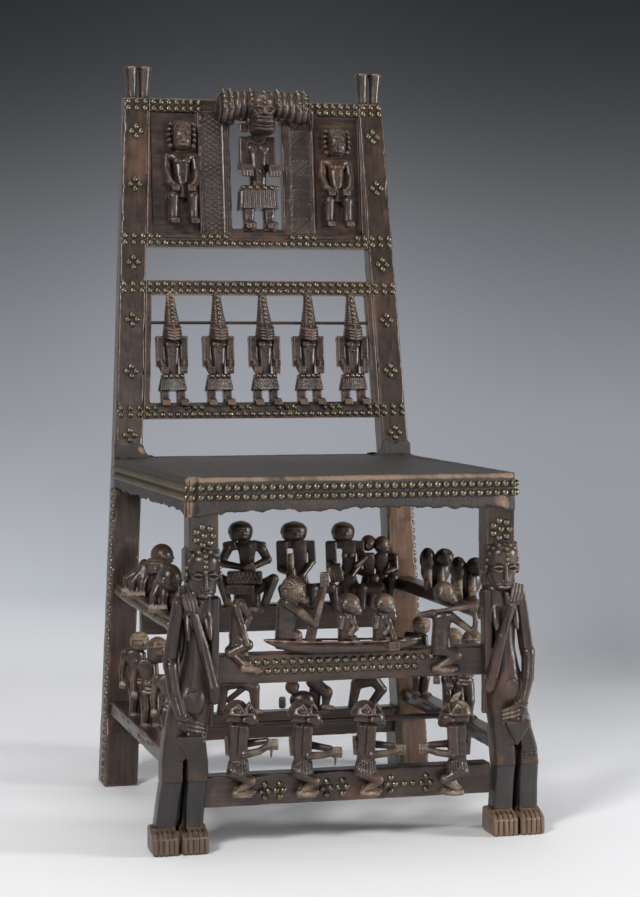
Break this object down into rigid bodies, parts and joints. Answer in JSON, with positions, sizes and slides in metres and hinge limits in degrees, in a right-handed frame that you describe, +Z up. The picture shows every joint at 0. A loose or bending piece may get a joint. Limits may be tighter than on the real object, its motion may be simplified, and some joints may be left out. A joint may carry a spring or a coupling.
{
  "type": "carved side chair",
  "caption": "High-backed side chair in dark carved hardwood with figure legs, figure rungs, two carved back panels, a hide seat and brass tacks.",
  "frame": {"origin": "on the floor under the middle of the chair's bounding box", "axes": "+Z up, the sitter faces -Y, +X to the right as seen from the front of the chair"},
  "size_m": [0.4966, 0.5556, 0.9918],
  "materials": {
    "carved_wood": "dark brown hardwood, polished by use",
    "hide": "dark haired hide",
    "brass_tacks": "dull tarnished"
  },
  "bodies": {
    "root": {"left_back_post": "carved_wood", "right_back_post": "carved_wood", "left_front_leg": "carved_wood", "right_front_leg": "carved_wood", "front_seat_rail": "carved_wood", "rear_seat_rail": "carved_wood", "left_seat_rail": "carved_wood", "right_seat_rail": "carved_wood", "crest_panel": "carved_wood", "back_panel": "carved_wood", "back_panel_rod": "carved_wood", "front_upper_rung": "carved_wood", "front_lower_rung": "carved_wood", "rear_upper_rung": "carved_wood", "rear_lower_rung": "carved_wood", "left_upper_rung": "carved_wood", "left_lower_rung": "carved_wood", "right_upper_rung": "carved_wood", "right_lower_rung": "carved_wood", "lower_cross_rod": "carved_wood", "seat_hide": "hide", "crest_tacks": "brass_tacks", "back_panel_tacks": "brass_tacks", "front_upper_rung_tacks": "brass_tacks", "front_lower_rung_tacks": "brass_tacks", "front_seat_tacks": "brass_tacks", "left_seat_tacks": "brass_tacks", "right_seat_tacks": "brass_tacks", "rear_seat_tacks": "brass_tacks", "left_post_tacks": "brass_tacks", "right_post_tacks": "brass_tacks", "left_post_edge_tacks": "brass_tacks", "right_post_edge_tacks": "brass_tacks", "left_leg_tacks": "brass_tacks", "right_leg_tacks": "brass_tacks", "left_rung_tacks": "brass_tacks", "right_rung_tacks": "brass_tacks"}
  },
  "joints": []
}
